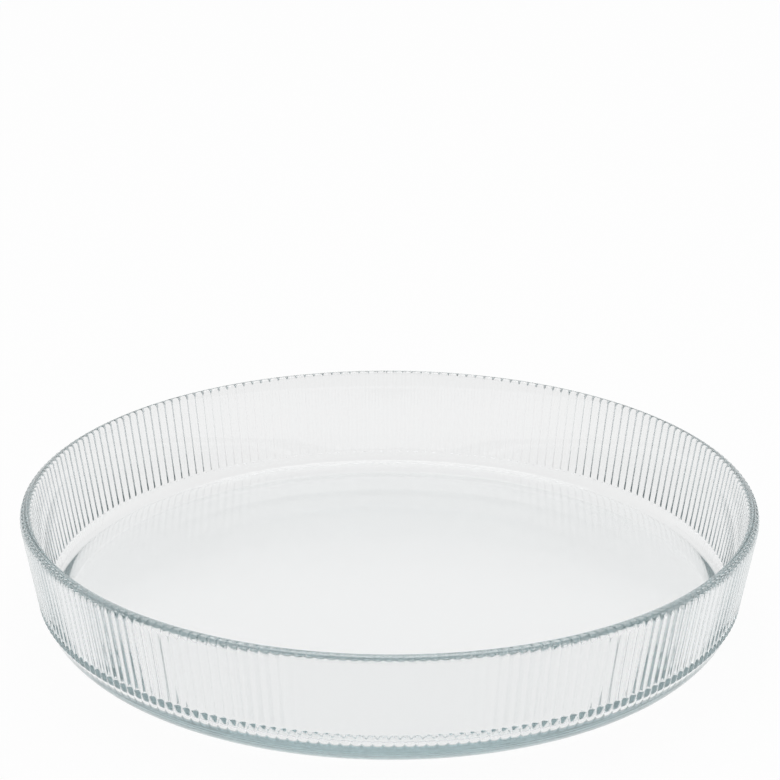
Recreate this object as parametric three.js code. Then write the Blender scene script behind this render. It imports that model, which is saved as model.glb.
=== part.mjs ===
import * as THREE from 'three';

// A round baking dish pressed from one piece of clear glass. It has a bearing ring under a hollow base,
// a plain curved foot, a wall that leans out and carries fine upright reeds on its outside, a plain rim
// and a smooth inside with a bevel above the floor. Sizes are in millimetres. The dish stands on z = 0
// and its axis is the z axis.

// Overall size: the reeds are widest just under the rim
const rimRadius = 150;
const dishHeight = 50.5;

// Wall and floor: the inside bends in to a bevel, which meets the floor in a small rounded corner
const wallLean = THREE.MathUtils.degToRad(10.4);
const wallThickness = 4.4;
const floorHeight = 10.6;
const bendHeight = 15.8;
const bendRadius = 3;
const bevelLean = THREE.MathUtils.degToRad(28);
const cornerRadius = 2;

// Rim: a plain band above the reeds, level with the wall between them
const rimBand = 1.4;
const rimOuterRound = 0.8;
const rimInnerRound = 2.4;

// Foot and base: a plain slope leads in from the reeds to the foot's top, and the foot curves in from there
// to the bearing ring
const footHeight = 9;
const heelInset = 1;
const footInset = 8.7;
const footCurve = 20;
const footRound = 2;
const bearingWidth = 6;
const baseHollow = 3;

// Reeds: convex ribs side by side, each with a rounded nose at both ends
const facetCount = 112;
const reedsPerFacet = 2;
const pointsPerReed = 4;
const reedHeight = 0.6;
const reedStart = 12.7;
const lowerNose = 1.3;
const upperNose = 1;

// Facets of the plain surfaces
const hollowSteps = 2;
const roundSteps = 2;
const curveSteps = 3;
const rimSteps = 3;
const cornerSteps = 3;
const lowerNoseShares = [0.15, 0.5, 1];

const reededPoints = facetCount * reedsPerFacet * pointsPerReed;
const quarterTurn = Math.PI / 2;

// A station is one ring of the loft: a profile point (radius, height), the way out of the glass there,
// and how far the reeds have risen, from 0 on plain glass to 1 at their full height.
function station(radius, height, normalAngle = 0, rise = 0) {
  const normal = new THREE.Vector2(Math.cos(normalAngle), Math.sin(normalAngle));
  return { point: new THREE.Vector2(radius, height), normal, rise };
}

// Stations along an arc of the profile, from one angle to another, both ends included.
function arcStations(centre, radius, fromAngle, toAngle, steps) {
  return Array.from({ length: steps + 1 }, (_, step) => {
    const angle = THREE.MathUtils.lerp(fromAngle, toAngle, step / steps);
    return station(centre.x + radius * Math.cos(angle), centre.y + radius * Math.sin(angle), angle);
  });
}

// A reed's cross-section is a flat arch, and its nose is a quarter of an ellipse along the wall.
const reedArch = (across) => 1 - (2 * across - 1) ** 2;
const noseRise = (share) => Math.sqrt(1 - (1 - share) ** 2);

// The outside of the wall between the reeds, as a radius at each height, and the inside parallel to it.
const rimFoot = dishHeight - rimBand;
const noseHeight = rimFoot - upperNose * Math.cos(wallLean);
const noseRadius = rimRadius - reedHeight * Math.cos(wallLean);
const wallRadius = (height) => noseRadius - (noseHeight - height) * Math.tan(wallLean);
const insideRadius = (height) => wallRadius(height) - wallThickness / Math.cos(wallLean);

// The foot is an arc from its top, just inside the wall, to its edge on the table.
const footTop = new THREE.Vector2(wallRadius(footHeight) - heelInset, footHeight);
function footCurveCentre() {
  const edge = new THREE.Vector2(wallRadius(0) - footInset, 0);
  const chord = footTop.clone().sub(edge);
  const middle = footTop.clone().add(edge).divideScalar(2);
  const inward = new THREE.Vector2(-chord.y, chord.x).normalize();
  return middle.addScaledVector(inward, Math.sqrt(footCurve ** 2 - chord.lengthSq() / 4));
}

// The small round between the foot's arc and the bearing ring, and the angle at which it meets the arc.
function footRounding(curveCentre) {
  const fall = footRound - curveCentre.y;
  const reach = Math.sqrt((footCurve - footRound) ** 2 - fall ** 2);
  return { centre: new THREE.Vector2(curveCentre.x + reach, footRound), angle: Math.atan2(fall, reach) };
}

// The hollow base, its bearing ring and the round at its edge, from the axis outward.
function baseStations(foot) {
  const hollowRadius = foot.centre.x - bearingWidth;
  const dome = Array.from({ length: hollowSteps }, (_, step) => {
    const share = step / hollowSteps;
    return station(hollowRadius * share, baseHollow * (1 - share ** 2), -quarterTurn);
  });
  return [
    ...dome,
    station(hollowRadius, 0, -quarterTurn),
    ...arcStations(foot.centre, footRound, -quarterTurn, foot.angle, roundSteps),
  ];
}

// The outside from the foot to the rim. The reeds start above the foot and end under the rim.
function wallStations(curveCentre, footAngle) {
  const topAngle = Math.atan2(footTop.y - curveCentre.y, footTop.x - curveCentre.x);
  const onWall = (height, rise) => station(wallRadius(height), height, -wallLean, rise);
  const lowerNoses = lowerNoseShares.map((share) =>
    onWall(reedStart + share * lowerNose * Math.cos(wallLean), noseRise(share)));
  return [
    ...arcStations(curveCentre, footCurve, footAngle, topAngle, curveSteps).slice(1),
    onWall(reedStart, 0),
    ...lowerNoses,
    onWall(noseHeight, 1),
    onWall(rimFoot, 0),
  ];
}

// The plain rim: a rounded outer edge, the narrow crown and a rounded inner edge.
function rimStations() {
  const outerHeight = dishHeight - rimOuterRound;
  const outerRadius = wallRadius(outerHeight) - rimOuterRound / Math.cos(wallLean);
  const outerCentre = new THREE.Vector2(outerRadius, outerHeight);
  const innerHeight = dishHeight - rimInnerRound;
  const innerRadius = insideRadius(innerHeight) + rimInnerRound / Math.cos(wallLean);
  const innerCentre = new THREE.Vector2(innerRadius, innerHeight);
  return [
    ...arcStations(outerCentre, rimOuterRound, -wallLean, quarterTurn, rimSteps),
    ...arcStations(innerCentre, rimInnerRound, quarterTurn, Math.PI - wallLean, rimSteps),
  ];
}

// The inside: the bend below the straight wall, the bevel, the corner on the floor and the floor's middle.
function insideStations() {
  const bendCentre = new THREE.Vector2(
    insideRadius(bendHeight) - bendRadius * Math.cos(wallLean),
    bendHeight + bendRadius * Math.sin(wallLean));
  const bend = arcStations(bendCentre, bendRadius, -wallLean, -bevelLean, roundSteps);
  const bevelTop = bend[roundSteps].point;
  const cornerHeight = floorHeight + cornerRadius;
  const bevelRadius = bevelTop.x - (bevelTop.y - cornerHeight) * Math.tan(bevelLean);
  const cornerCentre = new THREE.Vector2(bevelRadius - cornerRadius / Math.cos(bevelLean), cornerHeight);
  return [
    ...bend,
    ...arcStations(cornerCentre, cornerRadius, -bevelLean, -quarterTurn, cornerSteps),
    station(0, floorHeight, quarterTurn),
  ];
}

// One ring of points round the axis. Reeded rings follow the arch of every reed, plain ones have one
// point for each facet, and a station on the axis is a single point. A crest lies on the x axis.
function ringPoints({ point, normal, rise }) {
  if (point.x === 0) {
    return [new THREE.Vector3(0, 0, point.y)];
  }
  const count = rise > 0 ? reededPoints : facetCount;
  return Array.from({ length: count }, (_, index) => {
    const across = ((index + pointsPerReed / 2) % pointsPerReed) / pointsPerReed;
    const out = rise * reedHeight * reedArch(across);
    const radius = point.x + normal.x * out;
    const angle = (4 * quarterTurn * index) / count;
    return new THREE.Vector3(radius * Math.cos(angle), radius * Math.sin(angle), point.y + normal.y * out);
  });
}

// Triangles between two neighbouring rings, which may hold different numbers of points.
function stitch(first, second) {
  const stepsOf = (ring) => (ring.count === 1 ? 0 : ring.count);
  const corner = (ring, step) => ring.start + (step % ring.count);
  const triangles = [];
  let i = 0;
  let j = 0;
  while (i < stepsOf(first) || j < stepsOf(second)) {
    const firstIsNext = (i + 0.5) / stepsOf(first) < (j + 0.5) / stepsOf(second);
    if (j === stepsOf(second) || (i < stepsOf(first) && firstIsNext)) {
      triangles.push(corner(first, i), corner(first, i + 1), corner(second, j));
      i += 1;
    } else {
      triangles.push(corner(first, i), corner(second, j + 1), corner(second, j));
      j += 1;
    }
  }
  return triangles;
}

// A closed solid through a list of stations that starts and ends on the axis.
function loft(stations) {
  const points = [];
  const rings = stations.map((entry) => {
    const ring = ringPoints(entry);
    const start = points.length;
    points.push(...ring);
    return { start, count: ring.length };
  });
  const geometry = new THREE.BufferGeometry().setFromPoints(points);
  geometry.setIndex(rings.slice(1).flatMap((ring, index) => stitch(rings[index], ring)));
  geometry.computeVertexNormals();
  return geometry;
}

function dishGeometry() {
  const curveCentre = footCurveCentre();
  const foot = footRounding(curveCentre);
  return loft([
    ...baseStations(foot),
    ...wallStations(curveCentre, foot.angle),
    ...rimStations(),
    ...insideStations(),
  ]);
}

const clearGlass = new THREE.MeshStandardMaterial({
  color: 0xe3ebe9,
  roughness: 0.05,
  metalness: 0,
  transparent: true,
  opacity: 0.35,
});

const dish = new THREE.Mesh(dishGeometry(), clearGlass);
dish.name = 'glass_dish';

const bakingDish = new THREE.Group();
bakingDish.add(dish);

export default bakingDish;
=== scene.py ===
# %% [markdown]
# # A reeded glass baking dish
# The dish is one pressing of clear oven glass: a hollow base on a bearing ring, a plain curved foot, a wall
# that leans out with fine upright reeds on its outside, a rounded rim and a smooth inside.
# The imported solid gives its place and size, so it is loaded first, and its box gives the rim's radius and
# the dish's height.

# %% Load the imported dish
import math
import bpy
import numpy as np
from mathutils import Matrix, Vector


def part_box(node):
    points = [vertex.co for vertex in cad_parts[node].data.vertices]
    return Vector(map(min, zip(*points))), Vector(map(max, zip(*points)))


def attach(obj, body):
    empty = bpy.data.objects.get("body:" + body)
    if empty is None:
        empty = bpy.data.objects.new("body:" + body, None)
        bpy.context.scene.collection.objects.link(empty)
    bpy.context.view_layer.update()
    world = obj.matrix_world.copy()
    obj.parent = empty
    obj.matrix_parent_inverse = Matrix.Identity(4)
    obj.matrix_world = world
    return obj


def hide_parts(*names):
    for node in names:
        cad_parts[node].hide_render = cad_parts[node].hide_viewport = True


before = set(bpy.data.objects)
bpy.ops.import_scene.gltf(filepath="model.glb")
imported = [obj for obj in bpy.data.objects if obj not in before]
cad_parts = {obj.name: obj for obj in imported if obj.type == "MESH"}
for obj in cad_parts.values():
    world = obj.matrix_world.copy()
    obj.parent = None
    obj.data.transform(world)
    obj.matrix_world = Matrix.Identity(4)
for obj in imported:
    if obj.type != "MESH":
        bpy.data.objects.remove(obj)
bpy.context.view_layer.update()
MM = 0.001
_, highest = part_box("glass_dish")
rim_radius = highest[0]
dish_height = highest[2]
print(f"rim {2 * rim_radius / MM:.1f} mm across, {dish_height / MM:.1f} mm tall")

# %% [markdown]
# ## The camera
# The viewing angle came from fitting the rim's ellipse and the foot's edge. A camera can be aimed with a
# constraint, but here its three axes are written straight into its matrix, which also takes the slight roll
# of the picture. The focal length is given in picture sides, and the sensor's width turns it to millimetres.

# %% Place the camera
view_elevation = math.radians(20.92)
view_roll = math.radians(0.2)
view_distance = 1230 * MM
view_height = 97.4 * MM
focal_in_picture_sides = 3.919
sensor_width = 36.0

camera_data = bpy.data.cameras.new("camera")
camera_data.sensor_width = sensor_width
camera_data.lens = focal_in_picture_sides * sensor_width
camera = bpy.data.objects.new("camera", camera_data)
bpy.context.scene.collection.objects.link(camera)
bpy.context.scene.camera = camera

backward = Vector((0, -math.cos(view_elevation), math.sin(view_elevation)))
level_up = Vector((0, math.sin(view_elevation), math.cos(view_elevation)))
level_right = Vector((1, 0, 0))
right = level_right * math.cos(view_roll) + level_up * math.sin(view_roll)
up = backward.cross(right)
camera.matrix_world = Matrix((right, up, backward)).transposed().to_4x4()
camera.matrix_world.translation = Vector((0, 0, view_height)) + backward * view_distance
print(f"camera {view_distance / MM:.0f} mm away, lens {camera_data.lens:.0f} mm")

# %% [markdown]
# ## The wall's line
# A turned form is fixed by its half section. A curve with a Screw modifier would turn it, but the reeds need
# a ring that changes round the axis. So the section is kept as stations: a radius, a height, the angle of the
# way out of the glass, and how far the reeds have risen there. The wall is a straight line that leans out, and
# it is measured in the valleys between the reeds. Round stretches of the section are arcs.

# %% The wall as a radius at each height
wall_lean = math.radians(10.4)
wall_thickness = 4.4 * MM
reed_height = 0.6 * MM
rim_outer_round = 2.8 * MM
QUARTER = math.pi / 2

shoulder_height = dish_height - rim_outer_round * (1 + math.sin(wall_lean))
shoulder_radius = rim_radius - reed_height * math.cos(wall_lean)


def wall_radius(height):
    return shoulder_radius - (shoulder_height - height) * math.tan(wall_lean)


def inside_radius(height):
    return wall_radius(height) - wall_thickness / math.cos(wall_lean)


def arc(centre, radius, start, stop, steps):
    """Plain stations along an arc of the section, both ends included."""
    angles = np.linspace(start, stop, steps + 1)
    return [(centre[0] + radius * math.cos(a), centre[1] + radius * math.sin(a), a, 0.0) for a in angles]


print(f"straight wall up to {shoulder_height / MM:.1f} mm, {wall_thickness / MM:.1f} mm thick")

# %% [markdown]
# ## The foot
# Below the reeds a plain slope leads in to the foot's top, and from there the foot curves in to the table. The
# foot is an arc through its top and its edge, so its centre lies on the line that halves the stretch between
# them at a right angle. A small round leads on to the bearing ring. One long Bezier curve would pass through
# the same points, but two arcs keep a radius that can be measured.

# %% Centres of the foot's arcs
foot_height = 9 * MM
heel_inset = 1 * MM
foot_inset = 8.7 * MM
foot_curve = 20 * MM
foot_round = 2 * MM

foot_top = Vector((wall_radius(foot_height) - heel_inset, foot_height))
foot_edge = Vector((wall_radius(0) - foot_inset, 0))
chord = foot_top - foot_edge
inward = Vector((-chord.y, chord.x)).normalized()
curve_centre = (foot_top + foot_edge) / 2 + inward * math.sqrt(foot_curve**2 - chord.length_squared / 4)
drop = foot_round - curve_centre.y
foot_centre = Vector((curve_centre.x + math.sqrt((foot_curve - foot_round) ** 2 - drop**2), foot_round))
foot_angle = math.atan2(drop, foot_centre.x - curve_centre.x)
top_angle = math.atan2(foot_top.y - curve_centre.y, foot_top.x - curve_centre.x)
print(f"bearing ring out to {foot_centre.x / MM:.1f} mm, foot's top at {foot_top.x / MM:.1f} mm")

# %% [markdown]
# ## Base and foot
# Pressed glass stands on a narrow ring, and the base inside it is hollowed a few millimetres so that it never
# rocks. The hollow is a shallow bowl, and a parabola is close enough to it. The stations run outward from the
# middle of the base and up the foot.

# %% Stations of the base and the foot
bearing_width = 6 * MM
base_hollow = 3 * MM
foot_round_steps = 5
foot_curve_steps = 8

hollow_radius = foot_centre.x - bearing_width
base = []
for share in (0.25, 0.5, 0.75, 1.0):
    base.append((hollow_radius * share, base_hollow * (1 - share**2), -QUARTER, 0.0))
outside = arc(foot_centre, foot_round, -QUARTER, foot_angle, foot_round_steps)
outside += arc(curve_centre, foot_curve, foot_angle, top_angle, foot_curve_steps)[1:]
print(len(base) + len(outside), "stations in base and foot")

# %% [markdown]
# ## The reeded wall
# The reeds run straight up the wall. Above the foot each one starts in a rounded nose, a quarter of an ellipse
# along the wall. It is steep where it leaves the plain glass, so its stations stand closer there. The noses
# throw the row of dark beads above the foot.

# %% Stations of the reeded wall
reed_start = 12.7 * MM
lower_nose = 1.3 * MM
nose_shares = (0.0, 0.03, 0.1, 0.2, 0.35, 0.55, 0.8)
wall_rings = 9


def on_wall(height, rise):
    return (wall_radius(height), height, -wall_lean, rise)


def nose_rise(share):
    return math.sqrt(1 - (1 - share) ** 2)


for share in nose_shares:
    outside.append(on_wall(reed_start + share * lower_nose * math.cos(wall_lean), nose_rise(share)))
for height in np.linspace(reed_start + lower_nose * math.cos(wall_lean), shoulder_height, wall_rings):
    outside.append(on_wall(height, 1.0))
print(f"reeds {(shoulder_height - reed_start) / MM:.1f} mm tall below the rim's shoulder")

# %% [markdown]
# ## The rim
# The heat of the fire-polishing rounds both edges of the rim, and each is an arc that meets the wall's line
# without a corner. The reeds run up on to the outer shoulder and end half-way round it, in noses again. That
# leaves one fine tooth for each reed along the edge and speckles the rim where it is seen along its length. A
# Bevel modifier could round the edges of a finished mesh, but it would also catch the reeds.

# %% Stations of the rim
rim_inner_round = 1.3 * MM
shoulder_steps = 16
inner_steps = 8
reed_end = 0.5

outer_height = dish_height - rim_outer_round
outer_centre = (wall_radius(outer_height) - rim_outer_round / math.cos(wall_lean), outer_height)
shoulder = arc(outer_centre, rim_outer_round, -wall_lean, QUARTER, shoulder_steps)
for step, (radius, height, angle, _) in enumerate(shoulder[1:], 1):
    left = 1 - min(1.0, step / shoulder_steps / reed_end)
    outside.append((radius, height, angle, nose_rise(left)))
inner_height = dish_height - rim_inner_round
inner_centre = (inside_radius(inner_height) + rim_inner_round / math.cos(wall_lean), inner_height)
inside = arc(inner_centre, rim_inner_round, QUARTER, math.pi - wall_lean, inner_steps)
print(f"crown {(outer_centre[0] - inner_centre[0]) / MM:.1f} mm wide between its rounds")

# %% [markdown]
# ## The inside
# The plunger that presses the inside leaves it smooth. Low down the wall bends in to a short bevel, and the
# bevel meets the floor in a small rounded corner. The bend is what ends the reeds' lines on the far wall, and
# the corner throws the dark wedge beside the floor, so both are kept as true arcs.

# %% Stations of the inside
floor_height = 10.6 * MM
bend_height = 15.8 * MM
bend_radius = 3 * MM
bevel_lean = math.radians(28)
corner_radius = 2 * MM
bend_steps = 8
corner_steps = 10
inside_rings = 6

bend_middle = inside_radius(bend_height) - bend_radius * math.cos(wall_lean)
bend_centre = (bend_middle, bend_height + bend_radius * math.sin(wall_lean))
bend = arc(bend_centre, bend_radius, -wall_lean, -bevel_lean, bend_steps)
corner_height = floor_height + corner_radius
bevel_radius = bend[-1][0] - (bend[-1][1] - corner_height) * math.tan(bevel_lean)
corner_centre = (bevel_radius - corner_radius / math.cos(bevel_lean), corner_height)
for height in np.linspace(inside[-1][1], bend_height, inside_rings)[1:-1]:
    inside.append((inside_radius(height), height, math.pi - wall_lean, 0.0))
inside += bend + arc(corner_centre, corner_radius, -bevel_lean, -QUARTER, corner_steps)
for share in (0.75, 0.5, 0.25):
    inside.append((corner_centre[0] * share, floor_height, QUARTER, 0.0))
print(f"floor {2 * corner_centre[0] / MM:.0f} mm across, {len(base + outside + inside)} stations in all")

# %% [markdown]
# ## Reeds round the wall
# Each reed is a convex rib, and neighbours meet in a narrow rounded valley. A Displace modifier could raise
# them from a texture, but the valleys would blur, so every reeded ring is computed: the arch is a cosine whose
# sharp foot is softened by the valley's share of the pitch.

# %% Rings of points
reed_count = 224
valley_softness = 0.12


def reed_arch(across):
    wave = np.sqrt(np.cos(math.pi * across) ** 2 + valley_softness**2) - valley_softness
    return wave / (math.sqrt(1 + valley_softness**2) - valley_softness)


def ring(station, count):
    """The points of one ring round the axis, with the reeds where the station has them."""
    radius, height, angle, rise = station
    turn = np.arange(count) / count
    out = rise * reed_height * reed_arch(turn * reed_count)
    reach = radius + math.cos(angle) * out
    return np.stack([
        reach * np.cos(2 * math.pi * turn),
        reach * np.sin(2 * math.pi * turn),
        height + math.sin(angle) * out,
    ], axis=1)


print(f"reeds {2 * math.pi * rim_radius / reed_count / MM:.2f} mm apart under the rim")

# %% [markdown]
# ## Joining the rings
# The rings are joined by quads. Where the fine reeded rings meet the plainer rings of the base and the inside,
# one flat polygon spans a plain step and the reeded steps beside it: both places are flat, so nothing shows.

# %% Faces between the rings
points_per_reed = 12
plain_points_per_reed = 3

plain_points = reed_count * plain_points_per_reed
fine_points = reed_count * points_per_reed
counts = [plain_points] * len(base) + [fine_points] * len(outside) + [plain_points] * len(inside)
rings = [ring(s, c) for s, c in zip(base + outside + inside, counts)]
starts = [int(start) for start in np.concatenate([[0], np.cumsum(counts)])]
points = [tuple(p) for r in rings for p in r]
faces = []


def join_rings(first, second, first_count, second_count):
    """Faces between two rings that start at these points and hold these counts."""
    coarse = min(first_count, second_count)
    a_steps = first_count // coarse
    b_steps = second_count // coarse
    for i in range(coarse):
        a = [first + (i * a_steps + k) % first_count for k in range(a_steps + 1)]
        b = [second + (i * b_steps + k) % second_count for k in range(b_steps + 1)]
        faces.append(a + b[::-1])


for k in range(len(rings) - 1):
    join_rings(starts[k], starts[k + 1], counts[k], counts[k + 1])
print(len(faces), "faces between", len(rings), "rings")

# %% [markdown]
# ## One body of glass
# The real dish is a single body, and light can only be followed through it if the mesh is closed. A fan of
# triangles round the axis closes the base and the floor. Smooth shading then hides the facets.

# %% Close the mesh
base_middle = len(points)
points.append((0.0, 0.0, base_hollow))
floor_middle = len(points)
points.append((0.0, 0.0, floor_height))
last_ring = starts[-2]
for i in range(plain_points):
    following = (i + 1) % plain_points
    faces.append([base_middle, following, i])
    faces.append([floor_middle, last_ring + i, last_ring + following])

dish_mesh = bpy.data.meshes.new("reeded_dish")
dish_mesh.from_pydata(points, [], faces)
dish_mesh.validate()
dish_mesh.shade_smooth()
dish = bpy.data.objects.new("reeded_dish", dish_mesh)
bpy.context.scene.collection.objects.link(dish)
print(len(dish_mesh.vertices), "points,", len(dish_mesh.polygons), "faces")

# %% [markdown]
# ## Colours and nodes
# Colours are written as they look on a screen, and shaders count in linear light, so one function turns the
# first into the second. Materials can be drawn in the node editor by hand. In a script one small function adds
# a node, sets it and links it, which keeps every material a short list.

# %% Helpers for materials


def linear(hex_colour):
    """An sRGB hex colour as linear RGBA."""
    parts = [int(hex_colour[k:k + 2], 16) / 255 for k in (1, 3, 5)]
    return [p / 12.92 if p <= 0.04045 else ((p + 0.055) / 1.055) ** 2.4 for p in parts] + [1.0]


def add_node(tree, kind, values=None, links=None, **settings):
    """One node with its settings, its input values and the links that come into it."""
    node = tree.nodes.new(kind)
    for name, value in settings.items():
        setattr(node, name, value)
    for name, value in (values or {}).items():
        node.inputs[name].default_value = value
    for name, socket in (links or {}).items():
        tree.links.new(socket, node.inputs[name])
    return node


def new_tree(owner):
    owner.use_nodes = True
    owner.node_tree.nodes.clear()
    return owner.node_tree


print("a mid grey is", round(linear("#808080")[0], 3), "in linear light")

# %% [markdown]
# ## The skin of pressed glass
# Oven glass is pressed in a polished mould and then fire-polished, so its wall is sharp and clear, with only a
# very slow ripple left. The floor mirrors the far wall only as a soft sheen, so it is taken to be slightly dull,
# perhaps from cooling against the plunger. The roughness is zero on the wall and grows on the floor, which is
# found by its height and by its distance from the axis.

# %% Ripple and dull floor
ripple_width = 30 * MM
ripple_depth = 0.004 * MM
dull_edge = 4 * MM
floor_roughness = 0.15

glass = bpy.data.materials.new("fire_polished_pressed_glass")
tree = new_tree(glass)
place = add_node(tree, "ShaderNodeTexCoord")
ripple = add_node(tree, "ShaderNodeTexNoise", {"Scale": 1 / ripple_width, "Detail": 1.0},
                  {"Vector": place.outputs["Object"]})
bump = add_node(tree, "ShaderNodeBump", {"Strength": 1.0, "Distance": ripple_depth},
                {"Height": ripple.outputs["Fac"]})
level = add_node(tree, "ShaderNodeVectorMath", {1: (1.0, 1.0, 0.0)}, {0: place.outputs["Object"]},
                 operation="MULTIPLY")
reach = add_node(tree, "ShaderNodeVectorMath", links={0: level.outputs["Vector"]}, operation="LENGTH")
within = add_node(tree, "ShaderNodeMapRange",
                  {"From Min": corner_centre[0], "From Max": corner_centre[0] - dull_edge,
                   "To Min": 0.0, "To Max": floor_roughness},
                  {"Value": reach.outputs["Value"]})
split = add_node(tree, "ShaderNodeSeparateXYZ", links={"Vector": place.outputs["Object"]})
at_floor = add_node(tree, "ShaderNodeMath", {1: floor_height, 2: corner_radius}, {0: split.outputs["Z"]},
                    operation="COMPARE")
dull = add_node(tree, "ShaderNodeMath", links={0: at_floor.outputs["Value"], 1: within.outputs["Result"]},
                operation="MULTIPLY")
print(f"ripple {ripple_width / MM:.0f} mm wide, floor roughness {floor_roughness}")

# %% [markdown]
# ## The body of pressed glass
# Iron in the melt tints long paths grey-blue: the thick edges and the foot, where light runs through much
# glass, are tinted, and the thin wall is not. So the tint is absorption in the volume and not a paint on the
# surface. The pale surface colour stands for what the two skins of every wall scatter away. Borosilicate oven
# glass has an IOR near 1.47 and soda glass one near 1.52, and a value between them is used.

# %% Glass material
refractive_index = 1.48
tint_density = 5.0

skin = add_node(tree, "ShaderNodeBsdfPrincipled",
                {"Base Color": linear("#FAFAFA"), "IOR": refractive_index, "Transmission Weight": 1.0},
                {"Normal": bump.outputs["Normal"], "Roughness": dull.outputs["Value"]})
tint = add_node(tree, "ShaderNodeVolumeAbsorption", {"Color": linear("#8DB4B9"), "Density": tint_density})
add_node(tree, "ShaderNodeOutputMaterial",
         links={"Surface": skin.outputs["BSDF"], "Volume": tint.outputs["Volume"]})
dish_mesh.materials.append(glass)

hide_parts("glass_dish")
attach(dish, "root")
print("glass on", dish.name)

# %% [markdown]
# ## The white floor
# The dish stands on a wide sheet of matt white paper. To the camera the paper is plain white. In the glass or
# through it the paper glows a little less, which is painted shade standing for the paper in the dish's shade.
# A small share of it stays an ordinary matt surface, so that the dish keeps its shadow.

# %% Paper on the floor
floor_side = 30.0
floor_gap = 0.1 * MM
shadow_share = 0.04
# Painted shade: the paper glows at this lower strength when it is seen in or through the glass.
painted_shade_white_in_glass = 0.95

half = floor_side / 2
floor_mesh = bpy.data.meshes.new("floor")
corners = [(-half, -half), (half, -half), (half, half), (-half, half)]
floor_mesh.from_pydata([(x, y, -floor_gap) for x, y in corners], [], [(0, 1, 2, 3)])
floor = bpy.data.objects.new("floor", floor_mesh)
bpy.context.scene.collection.objects.link(floor)

paper = bpy.data.materials.new("matt_white_paper")
tree = new_tree(paper)
rays = add_node(tree, "ShaderNodeLightPath")
seen = add_node(tree, "ShaderNodeMath", operation="MAXIMUM",
                links={0: rays.outputs["Is Camera Ray"], 1: rays.outputs["Is Glossy Ray"]})
seen_too = add_node(tree, "ShaderNodeMath", operation="MAXIMUM",
                    links={0: seen.outputs["Value"], 1: rays.outputs["Is Transmission Ray"]})
share = add_node(tree, "ShaderNodeMath", {1: 1 - shadow_share}, {0: seen_too.outputs["Value"]},
                 operation="MULTIPLY")
# Full strength for the camera, the lower strength in the glass: the drop is painted shade, not lamp light.
strength = add_node(tree, "ShaderNodeMath", {1: 1 - painted_shade_white_in_glass, 2: painted_shade_white_in_glass},
                    {0: rays.outputs["Is Camera Ray"]}, operation="MULTIPLY_ADD")
matt = add_node(tree, "ShaderNodeBsdfDiffuse", {"Color": linear("#F2F2F2")})
white = add_node(tree, "ShaderNodeEmission", {"Color": linear("#FFFFFF")},
                 {"Strength": strength.outputs["Value"]})
mixed = add_node(tree, "ShaderNodeMixShader",
                 links={0: share.outputs["Value"], 1: matt.outputs["BSDF"], 2: white.outputs["Emission"]})
add_node(tree, "ShaderNodeOutputMaterial", links={"Surface": mixed.outputs["Shader"]})
floor_mesh.materials.append(paper)
print("floor", floor_side, "m wide")

# %% [markdown]
# ## The room
# Clear glass shows only what stands round it. A white screen stands behind the dish and the room grows dim
# towards the sides and the camera, which is how glass is lit: the open floor stays light, and the edges and
# reeds gather grey lines from the dim sides. A picture of a studio could do the same, but a ramp over the
# direction is simpler to change.

# %% World
dim_side = -0.3
screen_side = 0.8
dim_light = 0.2
screen_light = 1.0

world = bpy.data.worlds.new("studio")
bpy.context.scene.world = world
tree = new_tree(world)
direction = add_node(tree, "ShaderNodeTexCoord")
split = add_node(tree, "ShaderNodeSeparateXYZ", links={"Vector": direction.outputs["Generated"]})
ramp = add_node(tree, "ShaderNodeMapRange",
                {"From Min": dim_side, "From Max": screen_side, "To Min": dim_light, "To Max": screen_light},
                {"Value": split.outputs["Y"]})
sky = add_node(tree, "ShaderNodeBackground", {"Strength": 1.0}, {"Color": ramp.outputs["Result"]})
add_node(tree, "ShaderNodeOutputWorld", links={"Surface": sky.outputs["Background"]})
print(f"room from {dim_light} near the camera to {screen_light} behind the dish")

# %% [markdown]
# ## The lamp and the paths of light
# One broad lamp hangs above the dish and gives the rim its soft light. Light that enters an edge of the glass
# is thrown to and fro many times before it leaves, and a path that is cut short turns black. So the number of
# bounces is raised far above the usual.

# %% Lamp and bounces
softbox_width = 1.6
softbox_depth = 1.2
softbox_place = (0.0, 0.3, 1.8)
softbox_watts = 11.0
glass_bounces = 48
mirror_bounces = 24

lamp_data = bpy.data.lights.new("top_softbox", "AREA")
lamp_data.shape = "RECTANGLE"
lamp_data.size = softbox_width
lamp_data.size_y = softbox_depth
lamp_data.energy = softbox_watts
lamp = bpy.data.objects.new("top_softbox", lamp_data)
lamp.location = softbox_place
bpy.context.scene.collection.objects.link(lamp)
bpy.context.scene.view_settings.view_transform = "Standard"
cycles = bpy.context.scene.cycles
cycles.max_bounces = glass_bounces
cycles.transmission_bounces = glass_bounces
cycles.glossy_bounces = mirror_bounces
print(lamp_data.energy, "W lamp,", cycles.max_bounces, "bounces")
